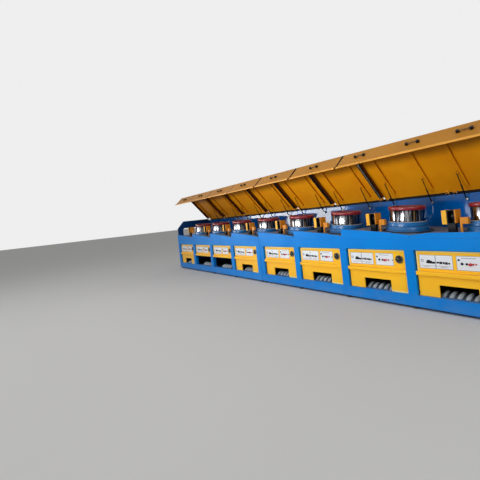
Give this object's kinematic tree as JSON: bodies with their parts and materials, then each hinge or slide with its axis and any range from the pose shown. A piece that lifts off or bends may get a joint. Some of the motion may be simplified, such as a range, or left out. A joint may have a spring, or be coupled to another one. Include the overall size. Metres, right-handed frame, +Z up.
{
  "type": "straight line wire drawing machine",
  "caption": "Long row of tilted wire drawing drums on blue frame modules with yellow front panels, and yellow hinged covers held open by gas struts.",
  "frame": {"origin": "on the floor, under the middle of the frame's footprint", "axes": "+X along the wire from the first block to the last, -Y towards the operator, +Z up"},
  "size_m": [10.302, 1.43, 2.5687],
  "materials": {
    "frame_blue": "glossy azure blue machine paint",
    "wall_blue": "glossy blue machine paint",
    "panel_yellow": "glossy warm yellow paint",
    "cover_yellow": "glossy warm yellow paint on sheet steel",
    "drum_steel": "ground and polished hard facing, red painted rim",
    "base_blue": "blue paint with a dark grey splash plate",
    "die_black": "black paint",
    "cheek_yellow": "warm yellow paint",
    "hose_grey": "pale grey ribbed plastic hose",
    "dark_metal": "dark bare metal",
    "strut_black": "black enamel",
    "rod_chrome": "hard chrome",
    "zinc": "bright zinc plate",
    "gauge_black": "black dial in a pale ring",
    "seal_black": "black rubber",
    "signal_red": "red plastic"
  },
  "bodies": {
    "frame": {"bottom_rails": "frame_blue", "base_cross_beams": "wall_blue", "pillars": "frame_blue", "top_beams": "frame_blue", "base_pans": "dark_metal", "joint_plates": "dark_metal", "levelling_feet": "dark_metal", "block_decks": "wall_blue", "front_skirts": "frame_blue", "drum_bases": "base_blue", "die_boxes": "die_black", "die_box_cheeks": "cheek_yellow", "wire_guides": "cheek_yellow", "instrument_panels": "panel_yellow", "panel_ledges": "panel_yellow", "lower_doors": "panel_yellow", "air_hoses": "hose_grey", "panel_gauges": "gauge_black", "stop_buttons": "signal_red", "rear_walls": "wall_blue", "roof_seals": "seal_black", "rear_panels": "wall_blue", "end_panels": "frame_blue", "end_portals": "frame_blue", "hinge_brackets": "zinc", "strut_brackets": "zinc"},
    "cover_1": {"cover_1": "cover_yellow"},
    "strut_cylinders_1": {"strut_cylinders_1": "strut_black"},
    "strut_rods_1": {"strut_rods_1": "rod_chrome"},
    "cover_2": {"cover_2": "cover_yellow"},
    "strut_cylinders_2": {"strut_cylinders_2": "strut_black"},
    "strut_rods_2": {"strut_rods_2": "rod_chrome"},
    "cover_3": {"cover_3": "cover_yellow"},
    "strut_cylinders_3": {"strut_cylinders_3": "strut_black"},
    "strut_rods_3": {"strut_rods_3": "rod_chrome"},
    "cover_4": {"cover_4": "cover_yellow"},
    "strut_cylinders_4": {"strut_cylinders_4": "strut_black"},
    "strut_rods_4": {"strut_rods_4": "rod_chrome"},
    "cover_5": {"cover_5": "cover_yellow"},
    "strut_cylinders_5": {"strut_cylinders_5": "strut_black"},
    "strut_rods_5": {"strut_rods_5": "rod_chrome"},
    "cover_6": {"cover_6": "cover_yellow"},
    "strut_cylinders_6": {"strut_cylinders_6": "strut_black"},
    "strut_rods_6": {"strut_rods_6": "rod_chrome"},
    "cover_7": {"cover_7": "cover_yellow"},
    "strut_cylinders_7": {"strut_cylinders_7": "strut_black"},
    "strut_rods_7": {"strut_rods_7": "rod_chrome"},
    "drum_1": {"drum_1": "drum_steel"},
    "drum_2": {"drum_2": "drum_steel"},
    "drum_3": {"drum_3": "drum_steel"},
    "drum_4": {"drum_4": "drum_steel"},
    "drum_5": {"drum_5": "drum_steel"},
    "drum_6": {"drum_6": "drum_steel"},
    "drum_7": {"drum_7": "drum_steel"},
    "drum_8": {"drum_8": "drum_steel"}
  },
  "joints": [
    {"name": "cover_1_hinge", "type": "hinge", "parent": "frame", "child": "cover_1", "pos_m": [-4.50662, 0.669, 1.682], "axis": [1, 0, 0], "range_deg": [0, 48.5]},
    {"name": "strut_1_swing", "type": "hinge", "parent": "frame", "child": "strut_cylinders_1", "pos_m": [-4.50662, 0.61, 1.54], "axis": [1, 0, 0], "range_deg": [0, 43.64]},
    {"name": "strut_1_slide", "type": "slide", "parent": "strut_cylinders_1", "child": "strut_rods_1", "axis": [0, -0.4758, 0.8795], "range_m": [-0.12087, 0]},
    {"name": "cover_2_hinge", "type": "hinge", "parent": "frame", "child": "cover_2", "pos_m": [-3.21787, 0.669, 1.682], "axis": [1, 0, 0], "range_deg": [0, 48.5]},
    {"name": "strut_2_swing", "type": "hinge", "parent": "frame", "child": "strut_cylinders_2", "pos_m": [-3.21787, 0.61, 1.54], "axis": [1, 0, 0], "range_deg": [0, 43.64]},
    {"name": "strut_2_slide", "type": "slide", "parent": "strut_cylinders_2", "child": "strut_rods_2", "axis": [0, -0.4758, 0.8795], "range_m": [-0.12087, 0]},
    {"name": "cover_3_hinge", "type": "hinge", "parent": "frame", "child": "cover_3", "pos_m": [-1.92912, 0.669, 1.682], "axis": [1, 0, 0], "range_deg": [0, 48.5]},
    {"name": "strut_3_swing", "type": "hinge", "parent": "frame", "child": "strut_cylinders_3", "pos_m": [-1.92912, 0.61, 1.54], "axis": [1, 0, 0], "range_deg": [0, 43.64]},
    {"name": "strut_3_slide", "type": "slide", "parent": "strut_cylinders_3", "child": "strut_rods_3", "axis": [0, -0.4758, 0.8795], "range_m": [-0.12087, 0]},
    {"name": "cover_4_hinge", "type": "hinge", "parent": "frame", "child": "cover_4", "pos_m": [-0.64038, 0.669, 1.682], "axis": [1, 0, 0], "range_deg": [0, 48.5]},
    {"name": "strut_4_swing", "type": "hinge", "parent": "frame", "child": "strut_cylinders_4", "pos_m": [-0.64038, 0.61, 1.54], "axis": [1, 0, 0], "range_deg": [0, 43.64]},
    {"name": "strut_4_slide", "type": "slide", "parent": "strut_cylinders_4", "child": "strut_rods_4", "axis": [0, -0.4758, 0.8795], "range_m": [-0.12087, 0]},
    {"name": "cover_5_hinge", "type": "hinge", "parent": "frame", "child": "cover_5", "pos_m": [0.64838, 0.669, 1.682], "axis": [1, 0, 0], "range_deg": [0, 48.5]},
    {"name": "strut_5_swing", "type": "hinge", "parent": "frame", "child": "strut_cylinders_5", "pos_m": [0.64838, 0.61, 1.54], "axis": [1, 0, 0], "range_deg": [0, 43.64]},
    {"name": "strut_5_slide", "type": "slide", "parent": "strut_cylinders_5", "child": "strut_rods_5", "axis": [0, -0.4758, 0.8795], "range_m": [-0.12087, 0]},
    {"name": "cover_6_hinge", "type": "hinge", "parent": "frame", "child": "cover_6", "pos_m": [1.93712, 0.669, 1.682], "axis": [1, 0, 0], "range_deg": [0, 48.5]},
    {"name": "strut_6_swing", "type": "hinge", "parent": "frame", "child": "strut_cylinders_6", "pos_m": [1.93712, 0.61, 1.54], "axis": [1, 0, 0], "range_deg": [0, 43.64]},
    {"name": "strut_6_slide", "type": "slide", "parent": "strut_cylinders_6", "child": "strut_rods_6", "axis": [0, -0.4758, 0.8795], "range_m": [-0.12087, 0]},
    {"name": "cover_7_hinge", "type": "hinge", "parent": "frame", "child": "cover_7", "pos_m": [3.87025, 0.669, 1.682], "axis": [1, 0, 0], "range_deg": [0, 48.5]},
    {"name": "strut_7_swing", "type": "hinge", "parent": "frame", "child": "strut_cylinders_7", "pos_m": [3.87025, 0.61, 1.54], "axis": [1, 0, 0], "range_deg": [0, 43.64]},
    {"name": "strut_7_slide", "type": "slide", "parent": "strut_cylinders_7", "child": "strut_rods_7", "axis": [0, -0.4758, 0.8795], "range_m": [-0.12087, 0]},
    {"name": "drum_1_spin", "type": "hinge", "parent": "frame", "child": "drum_1", "pos_m": [-4.286, -0.055, 1.11697], "axis": [0.079, 0, 0.9969], "continuous": true},
    {"name": "drum_2_spin", "type": "hinge", "parent": "frame", "child": "drum_2", "pos_m": [-2.99725, -0.055, 1.11697], "axis": [0.079, 0, 0.9969], "continuous": true},
    {"name": "drum_3_spin", "type": "hinge", "parent": "frame", "child": "drum_3", "pos_m": [-1.7085, -0.055, 1.11697], "axis": [0.079, 0, 0.9969], "continuous": true},
    {"name": "drum_4_spin", "type": "hinge", "parent": "frame", "child": "drum_4", "pos_m": [-0.41975, -0.055, 1.11697], "axis": [0.079, 0, 0.9969], "continuous": true},
    {"name": "drum_5_spin", "type": "hinge", "parent": "frame", "child": "drum_5", "pos_m": [0.869, -0.055, 1.11697], "axis": [0.079, 0, 0.9969], "continuous": true},
    {"name": "drum_6_spin", "type": "hinge", "parent": "frame", "child": "drum_6", "pos_m": [2.15775, -0.055, 1.11697], "axis": [0.079, 0, 0.9969], "continuous": true},
    {"name": "drum_7_spin", "type": "hinge", "parent": "frame", "child": "drum_7", "pos_m": [3.4465, -0.055, 1.11697], "axis": [0.079, 0, 0.9969], "continuous": true},
    {"name": "drum_8_spin", "type": "hinge", "parent": "frame", "child": "drum_8", "pos_m": [4.73525, -0.055, 1.08339], "axis": [0, 0, 1], "continuous": true}
  ],
  "couplings": [
    {"joint": "strut_1_swing", "follows": "cover_1_hinge", "ratio": 0.8996},
    {"joint": "strut_1_slide", "follows": "cover_1_hinge", "m_per_rad": -0.14267},
    {"joint": "strut_2_swing", "follows": "cover_2_hinge", "ratio": 0.8996},
    {"joint": "strut_2_slide", "follows": "cover_2_hinge", "m_per_rad": -0.14267},
    {"joint": "strut_3_swing", "follows": "cover_3_hinge", "ratio": 0.8996},
    {"joint": "strut_3_slide", "follows": "cover_3_hinge", "m_per_rad": -0.14267},
    {"joint": "strut_4_swing", "follows": "cover_4_hinge", "ratio": 0.8996},
    {"joint": "strut_4_slide", "follows": "cover_4_hinge", "m_per_rad": -0.14267},
    {"joint": "strut_5_swing", "follows": "cover_5_hinge", "ratio": 0.8996},
    {"joint": "strut_5_slide", "follows": "cover_5_hinge", "m_per_rad": -0.14267},
    {"joint": "strut_6_swing", "follows": "cover_6_hinge", "ratio": 0.8996},
    {"joint": "strut_6_slide", "follows": "cover_6_hinge", "m_per_rad": -0.14267},
    {"joint": "strut_7_swing", "follows": "cover_7_hinge", "ratio": 0.8996},
    {"joint": "strut_7_slide", "follows": "cover_7_hinge", "m_per_rad": -0.14267}
  ]
}
